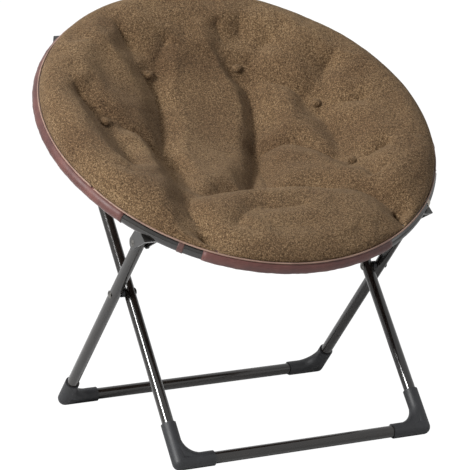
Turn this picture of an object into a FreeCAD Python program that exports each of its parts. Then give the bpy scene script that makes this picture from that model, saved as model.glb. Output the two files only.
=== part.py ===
import FreeCAD, Part
import Sketcher
import math
import os

# Folding saucer chair: a round tube ring in two halves that fold up like a book,
# two crossed leg frames, and a tufted round cushion in a cover that hems over the ring.
# +X is the sitter's left, -Y is the front, +Z is up, and the floor is at Z = 0.

Vector = FreeCAD.Vector
Rotation = FreeCAD.Rotation
Placement = FreeCAD.Placement

doc = FreeCAD.newDocument("folding_saucer_chair")
sheet = doc.addObject("Spreadsheet::Sheet", "dims")
sheet.Label = "dims"

# Driving dimensions, in millimetres and degrees
DRIVING = [
    ("tube_diameter", 22.0),
    ("tube_wall", 1.5),
    ("ring_radius", 378.0),
    ("ring_height", 561.3),
    ("ring_tilt", 31.4),
    ("front_droop", 2.8),
    ("hinge_forward", 150.0),
    ("outer_half_width", 278.5),
    ("leg_gap", 6.5),
    ("outer_bar_back", 197.5),
    ("inner_bar_front", 277.0),
    ("bar_height", 13.0),
    ("pivot_drop", 46.0),
    ("front_pivot_inset", 18.789),
    ("rear_pivot_inset", 3.725),
    ("rivet_diameter", 8.0),
    ("rivet_head_diameter", 15.0),
    ("rivet_head_height", 3.0),
    ("pivot_clearance", 0.05),
    ("side_clearance", 0.6),
    ("bracket_wall", 3.0),
    ("bracket_round", 13.0),
    ("bracket_length", 40.0),
    ("foot_wall", 3.0),
    ("foot_socket_start", 36.0),
    ("foot_inner_bend", 46.0),
    ("outer_foot_rise", 58.0),
    ("inner_foot_rise", 76.0),
    ("foot_reach", 66.0),
    ("leg_overhang", 13.0),
    ("plug_stem", 5.0),
    ("plug_dome", 2.5),
    ("lug_thickness", 4.8),
    ("lug_height", 17.0),
    ("lug_reach", 30.0),
    ("lug_lap", 0.15),
    ("lug_stub_angle", 4.0),
    ("hem_wall", 1.3),
    ("cushion_crown", 48.0),
    ("cushion_crown_radius", 322.0),
    ("crown_round", 46.0),
    ("lobe_crown", 24.0),
    ("lobe_shoulder", 26.0),
    ("crease_sink", 24.0),
    ("back_flank", 11.5),
    ("bowl_depth", 52.0),
    ("seat_bowl_depth", 6.0),
    ("tuft_ball", 62.0),
    ("tuft_depth", 12.0),
    ("fold_radius", 37.0),
    ("fold_depth", 6.6),
    ("tuft_floor", 2.0),
    ("sling_depth", 98.0),
    ("sling_wall", 3.0),
    ("bag_radius", 238.0),
    ("brim_fall", 9.0),
    ("button_diameter", 22.0),
    ("button_height", 8.0),
]
for row, (alias, value) in enumerate(DRIVING, start=1):
    cell = f"A{row}"
    sheet.set(cell, str(value))
    sheet.setAlias(cell, alias)
doc.recompute()


def size(alias):
    """A driving dimension, read back from the sheet."""
    return float(sheet.get(alias))


def cell_for(alias, value):
    """Keeps a worked-out size in the sheet so that features can be bound to it."""
    cell = f"B{cell_for.row}"
    cell_for.row += 1
    sheet.set(cell, str(round(value, 6)))
    sheet.setAlias(cell, alias)
    return f"dims.{alias}"


cell_for.row = 1

# Plain geometry of the side view: points are (y, z) pairs
TUBE_RADIUS = size("tube_diameter") / 2.0
RING_RADIUS = size("ring_radius")
SIDES = (("left", -1.0), ("right", 1.0))
FIT_GAP = 0.3
BRACKET_WRAP = 0.45
BRACKET_ARC = 20.0


def direction(angle):
    """Unit (y, z) vector at an angle in degrees from the +Y axis."""
    return (math.cos(math.radians(angle)), math.sin(math.radians(angle)))


def along(point, way, distance):
    return (point[0] + way[0] * distance, point[1] + way[1] * distance)


def crossing(p, u, q, v):
    """Where the line p + a u meets the line q + b v."""
    det = u[1] * v[0] - u[0] * v[1]
    a = ((q[1] - p[1]) * v[0] - (q[0] - p[0]) * v[1]) / det
    return along(p, u, a)


def gap_between(p, q):
    return math.hypot(q[0] - p[0], q[1] - p[1])


REAR_TILT = size("ring_tilt")
FRONT_TILT = size("ring_tilt") + size("front_droop")
RING_CENTRE = (0.0, size("ring_height"))
HINGE = along(RING_CENTRE, direction(REAR_TILT), -size("hinge_forward"))
FRONT_CENTRE = along(HINGE, direction(FRONT_TILT), size("hinge_forward"))

OUTER_BAR = (size("outer_bar_back"), size("bar_height"))
INNER_BAR = (-size("inner_bar_front"), size("bar_height"))
OUTER_HALF_WIDTH = size("outer_half_width")
INNER_HALF_WIDTH = OUTER_HALF_WIDTH - size("tube_diameter") - size("leg_gap")


def ring_reach(half_width):
    """Distance of the ring tube from the ring's middle, up the back, at a half width."""
    return math.sqrt(RING_RADIUS ** 2 - half_width ** 2)


def under_ring(centre, tilt, reach):
    """A point that hangs pivot_drop under a ring half."""
    return along(along(centre, direction(tilt), reach), direction(tilt + 90.0), -size("pivot_drop"))


def way_between(start, end):
    length = gap_between(start, end)
    return ((end[0] - start[0]) / length, (end[1] - start[1]) / length)


FRONT_REACH = size("front_pivot_inset") - ring_reach(OUTER_HALF_WIDTH)
REAR_REACH = ring_reach(INNER_HALF_WIDTH) - size("rear_pivot_inset")
FRONT_PIVOT = under_ring(FRONT_CENTRE, FRONT_TILT, FRONT_REACH)
REAR_PIVOT = under_ring(RING_CENTRE, REAR_TILT, REAR_REACH)
OUTER_WAY = way_between(OUTER_BAR, FRONT_PIVOT)
INNER_WAY = way_between(INNER_BAR, REAR_PIVOT)
SCISSOR = crossing(OUTER_BAR, OUTER_WAY, INNER_BAR, INNER_WAY)


def in_plane(point, centre, tilt):
    """Side-view point as (along the ring plane, above it)."""
    dy = point[0] - centre[0]
    dz = point[1] - centre[1]
    way = direction(tilt)
    return (dy * way[0] + dz * way[1], -dy * way[1] + dz * way[0])


REAR_PLACE = Placement(Vector(0, *RING_CENTRE), Rotation(Vector(1, 0, 0), REAR_TILT))
FRONT_PLACE = Placement(Vector(0, *FRONT_CENTRE), Rotation(Vector(1, 0, 0), FRONT_TILT))

# Angles round the ring, from +X towards the back
HINGE_ANGLE = math.degrees(math.asin(size("hinge_forward") / RING_RADIUS))
LUG_REACH_ANGLE = math.degrees(
    math.asin((size("hinge_forward") + size("lug_reach")) / RING_RADIUS)
) - HINGE_ANGLE
REAR_LUG_ANGLE = HINGE_ANGLE - math.degrees(
    math.asin((size("hinge_forward") - size("lug_reach")) / RING_RADIUS)
)
pieces = []


def keep(obj, label):
    obj.Label = label
    pieces.append(obj)
    return obj


def set_shape(label, shape, placement=None):
    """A piece whose shape is made with Part's own functions, in its own frame."""
    obj = doc.addObject("Part::Feature", label)
    obj.Shape = shape
    if placement is not None:
        obj.Placement = placement
    return keep(obj, label)


def new_body(label):
    body = doc.addObject("PartDesign::Body", label)
    return keep(body, label)


def plane_of(body, role):
    for feature in body.Origin.OriginFeatures:
        if feature.Role == role:
            return feature
    raise ValueError(role)


def sketch_on(body, name, role):
    sketch = body.newObject("Sketcher::SketchObject", name)
    sketch.AttachmentSupport = (plane_of(body, role), "")
    sketch.MapMode = "FlatFace"
    return sketch


def add_circle(sketch, radius_expression, centre=(0.0, 0.0)):
    """A circle whose radius is bound to the sheet, fixed at its centre."""
    index = sketch.addGeometry(Part.Circle(Vector(*centre, 0), Vector(0, 0, 1), 10.0), False)
    for axis, name in ((0, "DistanceX"), (1, "DistanceY")):
        if centre[axis] == 0.0:
            on_axis = -2 if axis == 0 else -1
            sketch.addConstraint(Sketcher.Constraint("PointOnObject", index, 3, on_axis))
        else:
            sketch.addConstraint(Sketcher.Constraint(name, -1, 1, index, 3, centre[axis]))
    number = sketch.addConstraint(Sketcher.Constraint("Radius", index, 10.0))
    sketch.setExpression(f"Constraints[{number}]", radius_expression)


def pad(body, sketch, length_expression, midplane=False):
    feature = body.newObject("PartDesign::Pad", f"{sketch.Name}_pad")
    feature.Profile = sketch
    feature.Midplane = midplane
    feature.setExpression("Length", length_expression)
    return feature


def cross_hole(body, name, distance, radius_expression):
    """A hole through a tube along its own X axis, at a distance up the tube."""
    sketch = sketch_on(body, name, "YZ_Plane")
    add_circle(sketch, radius_expression, (0.0, distance))
    cut = body.newObject("PartDesign::Pocket", f"{name}_cut")
    cut.Profile = sketch
    cut.Midplane = True
    cut.Length = 2.0 * size("tube_diameter")
    return cut


def tube_along(label, start, way, length, x, holes=()):
    """A round tube in the side plane at x, from start, with cross holes."""
    body = new_body(label)
    sketch = sketch_on(body, f"{label}_ring", "XY_Plane")
    add_circle(sketch, "dims.tube_diameter / 2")
    add_circle(sketch, "dims.tube_diameter / 2 - dims.tube_wall")
    pad(body, sketch, cell_for(f"{label}_length", length))
    radius = "dims.rivet_diameter / 2 + dims.pivot_clearance"
    for number, distance in enumerate(holes):
        cross_hole(body, f"{label}_hole_{number}", distance, radius)
    lean = math.degrees(math.atan2(way[0], way[1]))
    body.Placement = Placement(Vector(x, *start), Rotation(Vector(1, 0, 0), -lean))
    return body


def floor_bar(label, bar, half_width):
    """The straight tube of a leg frame that joins its two feet."""
    half = half_width - size("foot_socket_start")
    body = new_body(label)
    sketch = sketch_on(body, f"{label}_ring", "YZ_Plane")
    add_circle(sketch, "dims.tube_diameter / 2")
    add_circle(sketch, "dims.tube_diameter / 2 - dims.tube_wall")
    pad(body, sketch, cell_for(f"{label}_length", 2.0 * half), midplane=True)
    body.Placement = Placement(Vector(0, *bar), Rotation())
    return body


def foot(label, bar, way, half_width, side, rise):
    """A moulded elbow: two sleeves, a ball at the outer corner and a wide bend inside it."""
    outer = TUBE_RADIUS + size("foot_wall")
    socket_start = size("foot_socket_start")
    bend = size("foot_inner_bend")
    up = Vector(0, way[0], way[1])
    inward = Vector(-side, 0, 0)
    corner = Vector(side * half_width, bar[0], bar[1])
    bend_centre = corner + (up + inward) * bend
    solid = Part.makeSphere(outer, corner)
    for way_out, length in ((up, rise), (inward, size("foot_reach"))):
        solid = solid.fuse(Part.makeCylinder(outer, length, corner, way_out))
    ring = Part.Wire(Part.makeCircle(outer - FIT_GAP, corner + up * bend, up))
    turned = Part.Face(ring).revolve(bend_centre, up.cross(inward) * -1.0, 90.0)
    if turned.Volume < 0.0:
        turned.reverse()
    solid = solid.fuse(turned)
    below = Part.makeBox(
        4.0 * half_width, 4.0 * rise, rise, Vector(-2.0 * half_width, bar[0] - 2.0 * rise, -rise)
    )
    solid = solid.cut(below)
    socket_radius = TUBE_RADIUS + size("pivot_clearance")
    for way_out, length in ((up, rise), (inward, size("foot_reach"))):
        start = corner + way_out * socket_start
        solid = solid.cut(Part.makeCylinder(socket_radius, length, start, way_out))
    return set_shape(label, solid.removeSplitter())


def leg_frame(name, bar, way, half_width, pivot, rise):
    """One U of tube: two legs, a floor bar between them and two elbow feet."""
    bend = size("foot_socket_start")
    start = along(bar, way, bend)
    length = gap_between(start, pivot) + size("leg_overhang")
    holes = (gap_between(start, SCISSOR), gap_between(start, pivot))
    for side_name, side in SIDES:
        tube_along(f"{name}_leg_{side_name}", start, way, length, side * half_width, holes)
        foot(f"{name}_foot_{side_name}", bar, way, half_width, side, rise)
    floor_bar(f"{name}_floor_bar", bar, half_width)
    plugs(f"{name}_leg_plugs", along(start, way, length), way, half_width)


def dome(centre, way, radius, height):
    """A low round head: a slice of a ball on a flat face, standing along way."""
    ball = (radius * radius + height * height) / (2.0 * height)
    start = centre + way * (height - ball)
    sphere = Part.makeSphere(ball, start, way, 0.0, 90.0, 360.0)
    slab = Part.makeCylinder(radius, height * 1.5, centre, way)
    return sphere.common(slab)


def plugs(label, end, way, half_width):
    """Domed plastic plugs in the open tops of two legs."""
    up = Vector(0, way[0], way[1])
    bore = TUBE_RADIUS - size("tube_wall")
    solids = []
    for _, side in SIDES:
        mouth = Vector(side * half_width, end[0], end[1])
        stem_length = size("plug_stem")
        stem = Part.makeCylinder(bore, stem_length, mouth - up * stem_length, up)
        solids.append(stem.fuse(dome(mouth, up, TUBE_RADIUS, size("plug_dome"))))
    return set_shape(label, Part.makeCompound(solids))


def ring_tube(label, start, end, place):
    """An arc of round tube, turned about the ring's own axis."""
    body = new_body(label)
    sketch = sketch_on(body, f"{label}_ring", "XZ_Plane")
    centre = (RING_RADIUS, 0.0)
    add_circle(sketch, "dims.tube_diameter / 2", centre)
    add_circle(sketch, "dims.tube_diameter / 2 - dims.tube_wall", centre)
    turn = body.newObject("PartDesign::Revolution", f"{label}_turn")
    turn.Profile = sketch
    turn.ReferenceAxis = (sketch, ["V_Axis"])
    turn.setExpression("Angle", cell_for(f"{label}_angle", end - start))
    spin = Placement(Vector(), Rotation(Vector(0, 0, 1), start))
    body.Placement = place.multiply(spin)
    return body


def ring_solid(start, end, radius, bore=0.0):
    """Arc of a thick ring in the ring's own frame, made for cutting and for hems."""
    turn = math.radians(start)
    centre = Vector(RING_RADIUS * math.cos(turn), RING_RADIUS * math.sin(turn), 0)
    normal = Vector(-math.sin(turn), math.cos(turn), 0)
    face = Part.Face(Part.Wire(Part.makeCircle(radius, centre, normal)))
    if bore > 0.0:
        face = face.cut(Part.Face(Part.Wire(Part.makeCircle(bore, centre, normal))))
    return face.revolve(Vector(), Vector(0, 0, 1), end - start)


def bracket(label, pivot, centre, tilt, half_width, side, place):
    """A channel under the ring: a web on the tube and two rounded ears with a rivet hole."""
    along_plane, above = in_plane(pivot, centre, tilt)
    inner = TUBE_RADIUS + size("side_clearance")
    outer = inner + size("bracket_wall")
    tube_at = math.copysign(ring_reach(half_width), along_plane)
    half_length = size("bracket_length") / 2.0
    round_radius = size("bracket_round")
    top = -TUBE_RADIUS * BRACKET_WRAP
    outline = Part.Wire([
        Part.makeLine(Vector(0, tube_at - half_length, top), Vector(0, tube_at + half_length, top)),
        Part.makeLine(
            Vector(0, tube_at + half_length, top), Vector(0, along_plane + round_radius, above)
        ),
        Part.Arc(
            Vector(0, along_plane + round_radius, above),
            Vector(0, along_plane, above - round_radius),
            Vector(0, along_plane - round_radius, above),
        ).toShape(),
        Part.makeLine(
            Vector(0, along_plane - round_radius, above), Vector(0, tube_at - half_length, top)
        ),
    ])
    block = Part.Face(outline).extrude(Vector(2.0 * outer, 0, 0))
    block.translate(Vector(side * half_width - outer, 0, 0))
    web_under = -TUBE_RADIUS - size("bracket_wall")
    span = 2.0 * size("bracket_length")
    depth = 4.0 * size("pivot_drop")
    room = Part.makeBox(
        2.0 * inner, 2.0 * span, depth,
        Vector(side * half_width - inner, tube_at - span, web_under - depth),
    )
    hole = Part.makeCylinder(
        size("rivet_diameter") / 2.0, 4.0 * outer,
        Vector(side * half_width - 2.0 * outer, along_plane, above), Vector(1, 0, 0),
    )
    middle = math.degrees(math.atan2(tube_at, side * half_width))
    tube = ring_solid(middle - BRACKET_ARC, middle + BRACKET_ARC, TUBE_RADIUS)
    solid = block.cut(room).cut(hole).cut(tube)
    return set_shape(label, largest(solid), place)


def rivet(x_low, x_high, point, head_low=True, head_high=True):
    """A rivet along X with a low round head on either end."""
    centre = Vector(x_low, point[0], point[1])
    shank = Part.makeCylinder(size("rivet_diameter") / 2.0, x_high - x_low, centre, Vector(1, 0, 0))
    radius = size("rivet_head_diameter") / 2.0
    height = size("rivet_head_height")
    if head_low:
        shank = shank.fuse(dome(centre, Vector(-1, 0, 0), radius, height))
    if head_high:
        end = Vector(x_high, point[0], point[1])
        shank = shank.fuse(dome(end, Vector(1, 0, 0), radius, height))
    return shank.removeSplitter()


def pivot_rivets(label, point, half_width):
    """The rivets that carry a leg frame in its two brackets."""
    reach = TUBE_RADIUS + size("side_clearance") + size("bracket_wall")
    solids = []
    for _, side in SIDES:
        x = side * half_width
        solids.append(rivet(x - reach, x + reach, point))
    return set_shape(label, Part.makeCompound(solids))


def scissor_pieces():
    """Outer rivet halves, black spacers between the legs and inner rivet halves."""
    outer_face = OUTER_HALF_WIDTH + TUBE_RADIUS
    gap_outer = OUTER_HALF_WIDTH - TUBE_RADIUS
    gap_inner = INNER_HALF_WIDTH + TUBE_RADIUS
    inner_face = INNER_HALF_WIDTH - TUBE_RADIUS
    spacer_radius = size("rivet_diameter")
    rivets, spacers, buttons = [], [], []
    for _, side in SIDES:
        low, high = sorted((side * (gap_inner + FIT_GAP), side * outer_face))
        rivets.append(rivet(low, high, SCISSOR, head_low=side < 0, head_high=side > 0))
        start = Vector(side * (gap_inner + FIT_GAP), *SCISSOR)
        length = gap_outer - gap_inner - FIT_GAP
        disc = Part.makeCylinder(spacer_radius, length, start, Vector(side, 0, 0))
        bore = Part.makeCylinder(size("rivet_diameter") / 2.0, length, start, Vector(side, 0, 0))
        spacers.append(disc.cut(bore))
        low, high = sorted((side * inner_face, side * (gap_inner - FIT_GAP)))
        buttons.append(rivet(low, high, SCISSOR, head_low=side > 0, head_high=side < 0))
    set_shape("scissor_rivets", Part.makeCompound(rivets))
    set_shape("scissor_spacers", Part.makeCompound(spacers))
    set_shape("scissor_rivet_tails", Part.makeCompound(buttons))


def across_box(low, high, half_height):
    """A box right across the chair between two places along the ring plane."""
    start = Vector(-2.0 * RING_RADIUS, low, -half_height)
    return Part.makeBox(4.0 * RING_RADIUS, high - low, 2.0 * half_height, start)


def across_bar(radius, forward):
    """A round bar right across the chair, forward of the ring's centre."""
    start = Vector(-2.0 * RING_RADIUS, -forward, 0)
    return Part.makeCylinder(radius, 4.0 * RING_RADIUS, start, Vector(1, 0, 0))


def side_arc(side, low, high, radius):
    """Ring arc on one side, by angles forward of the X axis."""
    arc = ring_solid(-high, -low, radius)
    if side < 0:
        arc = arc.mirror(Vector(), Vector(1, 0, 0))
    return arc


def hinge_lug(label, side, front):
    """A flattened end piece of a ring half: a stub in the tube and a riveted plate."""
    forward = size("hinge_forward")
    sign = 1.0 if front else -1.0
    end = forward + sign * size("lug_reach")
    pivot_x = ring_reach(forward)
    tube_x = ring_reach(end)
    eye = size("lug_height") / 2.0
    near = pivot_x - sign * size("lug_lap")
    far = near - sign * size("lug_thickness")
    stub = sign * (TUBE_RADIUS - size("tube_wall"))
    plan = [
        (near, -forward + sign * eye), (near, -forward - sign * eye),
        (tube_x + stub, -end), (tube_x - stub, -end),
        (far, -forward - sign * eye), (far, -forward + sign * eye),
    ]
    corners = [Vector(side * x, s, -eye) for x, s in plan]
    plate = Part.Face(Part.makePolygon(corners + corners[:1])).extrude(Vector(0, 0, 2.0 * eye))
    low, high = sorted((-forward, -end - forward * sign))
    nose = across_bar(eye, forward)
    plate = plate.common(across_box(low, high, eye).fuse(nose))
    angle = math.degrees(math.asin(end / RING_RADIUS))
    beyond = angle + sign * 2.0 * size("lug_stub_angle")
    low, high = sorted((angle, beyond))
    plate = plate.cut(side_arc(side, low, high, 2.0 * TUBE_RADIUS))
    low, high = sorted((angle, angle + sign * size("lug_stub_angle")))
    solid = plate.fuse(side_arc(side, low, high, TUBE_RADIUS - size("tube_wall")))
    hole_radius = size("rivet_diameter") / 2.0
    if front:
        hole_radius += size("pivot_clearance")
    solid = solid.cut(across_bar(hole_radius, forward)).removeSplitter()
    return set_shape(label, solid, FRONT_PLACE if front else REAR_PLACE)


def hinge_rivets():
    """The rivets that the two ring halves turn on."""
    reach = size("lug_thickness") + size("lug_lap")
    pivot_x = ring_reach(size("hinge_forward"))
    solids = []
    for _, side in SIDES:
        x = side * pivot_x
        solids.append(rivet(x - reach, x + reach, HINGE))
    return set_shape("hinge_rivets", Part.makeCompound(solids))


# The cushion and its cover, in the ring's own frame: X across, Y up the back, Z above the ring
LIP_RADIUS = RING_RADIUS + 3.0
LIP_HEIGHT = TUBE_RADIUS + size("hem_wall") + 2.5
REST_HEIGHT = TUBE_RADIUS + size("hem_wall") + 0.7
BAG_RADIUS = size("bag_radius")
BRIM_HEIGHT = 0.5
SKIN_GAP = 0.3
BUTTON_DOME = 4.5
SEAM_ANGLE = 235.0
CREASE_GAP = 2.0
COVER_GAP = 1.2
CHEEK = (0.76, 0.68)
EDGE_INSET = 4.0
SEAT_INSET = 26.0
BRIM_INSET = 33.0
ROOM_GAP = 1.0
ROOM_END = 2.0
HEM_FIT = 0.02


def arc3(first, middle, last):
    points = [Vector(x, 0, z) for x, z in (first, middle, last)]
    return Part.Arc(*points).toShape()


def line2(first, last):
    return Part.makeLine(Vector(first[0], 0, first[1]), Vector(last[0], 0, last[1]))


def cushion_round(bowl_depth):
    """A whole round cushion: bowl, crown and drawn-in edge over the sling."""
    crown_ball = size("crown_round")
    crown = (size("cushion_crown_radius"), size("cushion_crown"))
    crown_centre = (crown[0], crown[1] - crown_ball)
    depth = bowl_depth + crown_centre[1]
    bowl_ball = (crown[0] ** 2 + depth ** 2 - crown_ball ** 2) / (2.0 * (crown_ball + depth))
    bowl_centre = (0.0, bowl_ball - bowl_depth)
    share = crown_ball / (crown_ball + bowl_ball)
    meet = (crown[0] * (1.0 - share), crown_centre[1] + (bowl_centre[1] - crown_centre[1]) * share)
    half_turn = math.asin(meet[0] / bowl_ball) / 2.0
    bowl_middle = (
        bowl_ball * math.sin(half_turn), bowl_centre[1] - bowl_ball * math.cos(half_turn)
    )
    crown_turn = math.radians(90.0 - 0.5 * math.degrees(math.asin((crown[0] - meet[0]) / crown_ball)))
    crown_middle = (
        crown_centre[0] - crown_ball * math.cos(crown_turn),
        crown_centre[1] + crown_ball * math.sin(crown_turn),
    )
    lip = (LIP_RADIUS, LIP_HEIGHT)
    outer_middle = (
        crown[0] + (lip[0] - crown[0]) * CHEEK[0], lip[1] + (crown[1] - lip[1]) * CHEEK[1]
    )
    edge = (LIP_RADIUS - EDGE_INSET, REST_HEIGHT)
    seat = (RING_RADIUS - SEAT_INSET, REST_HEIGHT)
    inner = (RING_RADIUS - BRIM_INSET, BRIM_HEIGHT)
    bowl = (0.0, -bowl_depth)
    under = sling_curve(size("sling_wall") + SKIN_GAP, inner[0])
    profile = Part.Wire([
        arc3(bowl, bowl_middle, meet),
        arc3(meet, crown_middle, crown),
        arc3(crown, outer_middle, lip),
        line2(lip, edge),
        line2(edge, seat),
        line2(seat, under[0]),
        arc3(*under[0:3]),
        arc3(*under[2:5]),
        line2(under[4], bowl),
    ])
    profile.rotate(Vector(), Vector(0, 0, 1), SEAM_ANGLE)
    return Part.Face(profile).revolve(Vector(), Vector(0, 0, 1), 360.0)


def sling_curve(rise, rim):
    """Points of the sling's underside, raised by rise: a shallow brim, then the ball of the bag."""
    brim = -BRIM_HEIGHT - size("sling_wall")
    bottom = -size("sling_depth")
    drop = brim - size("brim_fall") - bottom
    bag_ball = (BAG_RADIUS ** 2 + drop ** 2) / (2.0 * drop)
    half_turn = math.asin(BAG_RADIUS / bag_ball) / 2.0
    bag_middle = (bag_ball * math.sin(half_turn), bottom + bag_ball * (1.0 - math.cos(half_turn)))
    brim_middle = ((rim + BAG_RADIUS) / 2.0, brim - size("brim_fall") / 6.0)
    points = [(rim, brim), brim_middle, (BAG_RADIUS, bottom + drop), bag_middle, (0.0, bottom)]
    return [(radius, height + rise) for radius, height in points]


def sling_round():
    """The cover's underside: a thin skin from the ring down round the bag."""
    rim = RING_RADIUS - TUBE_RADIUS - size("hem_wall") - COVER_GAP
    low = sling_curve(0.0, rim)
    high = sling_curve(size("sling_wall"), rim)
    profile = Part.Wire([
        arc3(*low[0:3]),
        arc3(*low[2:5]),
        line2(low[4], high[4]),
        arc3(high[4], high[3], high[2]),
        arc3(high[2], high[1], high[0]),
        line2(high[0], low[0]),
    ])
    return Part.Face(profile).revolve(Vector(), Vector(0, 0, 1), 360.0)


def back_side():
    """The space behind the fold, with a sloped flank that leaves room to fold."""
    reach = 2.0 * RING_RADIUS
    start = -size("hinge_forward") + CREASE_GAP
    rise = reach * math.tan(math.radians(size("back_flank")))
    points = [
        Vector(-reach, start, -reach), Vector(-reach, start, 0.0),
        Vector(-reach, start + reach, rise), Vector(-reach, start + reach, -reach),
    ]
    face = Part.Face(Part.makePolygon(points + points[:1]))
    return face.extrude(Vector(2.0 * reach, 0, 0))


def front_side():
    """The space in front of the fold, under the shouldered top of the seat lobe."""
    reach = 2.0 * RING_RADIUS
    start = -size("hinge_forward") - CREASE_GAP
    front = -RING_RADIUS - 3.0 * TUBE_RADIUS
    lean = math.tan(math.radians(size("front_droop")))
    sink = (start - size("crease_sink") * lean, -size("crease_sink"))
    level = (start - size("lobe_shoulder"), 0.0)
    turn = size("lobe_shoulder") * (1.0 - math.sqrt(0.5))
    shoulder = (start - turn, sink[1] + size("crease_sink") * math.sqrt(0.5))
    crown = ((level[0] + front) / 2.0, size("lobe_crown"))
    arcs = []
    for first, middle, last in ((sink, shoulder, level), (level, crown, (front, 0.0))):
        points = [Vector(-reach, s, n) for s, n in (first, middle, last)]
        arcs.append(Part.Arc(*points).toShape())
    rest = Part.makePolygon([
        Vector(-reach, front, 0.0), Vector(-reach, front, -reach),
        Vector(-reach, start - reach * lean, -reach), Vector(-reach, *sink),
    ])
    face = Part.Face(Part.Wire(arcs + rest.Edges))
    return face.extrude(Vector(2.0 * reach, 0, 0))


# Tufts as (across, up the back), read off the photograph, and the drawn folds between them
BUTTON_TUFTS = {
    "upper_left": (-111.0, 182.0),
    "upper_right": (83.0, 189.0),
    "left": (-260.0, 30.0),
    "right": (202.0, 65.0),
    "lower_right": (193.0, -117.0),
}
PLAIN_TUFTS = {"middle": (52.0, -8.0), "lower_left": (-154.0, -42.0)}
FOLDS = (
    ("upper_left", "lower_left"), ("upper_right", "middle"),
    ("left", "lower_left"), ("right", "lower_right"),
)
BUTTON_COLLAR = size("button_height") - BUTTON_DOME


def heights(solid, across, up):
    """Underside and top of the cushion over a point of the ring plane."""
    probe = Part.makeLine(Vector(across, up, -RING_RADIUS), Vector(across, up, RING_RADIUS))
    box = solid.common(probe).BoundBox
    return (box.ZMin, box.ZMax)


def tuft_seat(solid, across, up):
    """Place where a button sits: drawn down from the top, but clear of the cover under it."""
    drawn = heights(solid, across, up)[1] - size("tuft_depth")
    outward = 1.0 + 0.5 * size("button_diameter") / math.hypot(across, up)
    under = heights(solid, across * outward, up * outward)[0]
    return Vector(across, up, max(drawn, under + size("tuft_floor") + BUTTON_COLLAR))


def tuft_cutters(solid):
    """Places of the buttons, and cutters for the dimples and for the drawn folds between them."""
    ball = size("tuft_ball")
    groove = size("fold_radius")
    tufts = {**BUTTON_TUFTS, **PLAIN_TUFTS}
    seats = {name: tuft_seat(solid, *place) for name, place in tufts.items()}
    cutters = [Part.makeSphere(ball, seat + Vector(0, 0, ball)) for seat in seats.values()]
    lift = groove - size("fold_depth")
    tops = {
        name: Vector(*place, heights(solid, *place)[1] + lift) for name, place in tufts.items()
    }
    for first, last in FOLDS:
        way = tops[last] - tops[first]
        cutters.append(Part.makeCylinder(groove, way.Length, tops[first], way))
    return [seats[name] for name in BUTTON_TUFTS], cutters


def bracket_room(half_width, sign):
    """Boxes round a pair of brackets, which the cover is cut away from."""
    half = TUBE_RADIUS + size("side_clearance") + size("bracket_wall") + ROOM_GAP
    tube_at = sign * ring_reach(half_width)
    length = size("bracket_length") + 2.0 * ROOM_END
    depth = 2.0 * size("pivot_drop")
    boxes = []
    for _, side in SIDES:
        corner = Vector(side * half_width - half, tube_at - length / 2.0, -depth)
        boxes.append(Part.makeBox(2.0 * half, length, depth + REST_HEIGHT - FIT_GAP, corner))
    return Part.makeCompound(boxes)


def largest(shape):
    return max(shape.Solids, key=lambda part: part.Volume)


def cushions():
    """The back cushion with its tufts and the seat lobe in front of the fold."""
    whole = cushion_round(size("bowl_depth"))
    lobe = cushion_round(size("seat_bowl_depth"))
    seats, cutters = tuft_cutters(whole)
    back = whole.common(back_side())
    for cutter in cutters:
        back = back.cut(cutter)
    radius = size("button_diameter") / 2.0
    buttons = []
    for seat in seats:
        base = seat - Vector(0, 0, BUTTON_COLLAR)
        button = Part.makeCylinder(radius, BUTTON_COLLAR, base, Vector(0, 0, 1))
        button = button.fuse(dome(seat, Vector(0, 0, 1), radius, BUTTON_DOME))
        buttons.append(button.removeSplitter())
    back = back.cut(Part.makeCompound(buttons))
    set_shape("back_cushion", largest(back), REAR_PLACE)
    set_shape("tuft_buttons", Part.makeCompound(buttons), REAR_PLACE)
    set_shape("seat_cushion", largest(lobe.common(front_side())), FRONT_PLACE)
    sling = sling_round()
    rear_sling = sling.common(back_side()).cut(bracket_room(INNER_HALF_WIDTH, 1.0))
    set_shape("rear_sling", largest(rear_sling), REAR_PLACE)
    front_sling = sling.common(front_side()).cut(bracket_room(OUTER_HALF_WIDTH, -1.0))
    set_shape("front_sling", largest(front_sling), FRONT_PLACE)


def hem(label, start, end, place, cut_outs=None):
    """A vinyl hem that wraps the ring tube, closed on the tube's own surface."""
    outer = TUBE_RADIUS + size("hem_wall")
    solid = ring_solid(start, end, outer, TUBE_RADIUS + HEM_FIT)
    if cut_outs is not None:
        solid = solid.cut(cut_outs)
    return set_shape(label, solid, place)


# Where the hem covers the ring, as angles round the ring: it stops short of the hinges and
# the left bracket, and the front flap's ends are read off the photograph
HINGE_BARE = 6.5
BRACKET_BARE = 4.05
BRACKET_EDGE = math.degrees(
    math.asin((ring_reach(OUTER_HALF_WIDTH) - size("bracket_length") / 2.0) / RING_RADIUS)
)
REAR_HEM = (HINGE_BARE - HINGE_ANGLE, 180.0 + HINGE_ANGLE - HINGE_BARE)
FRONT_HEM_LEFT = (180.0 + HINGE_ANGLE + HINGE_BARE, 180.0 + BRACKET_EDGE - BRACKET_BARE)
FRONT_FLAP = (238.0, 296.0)


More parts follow.
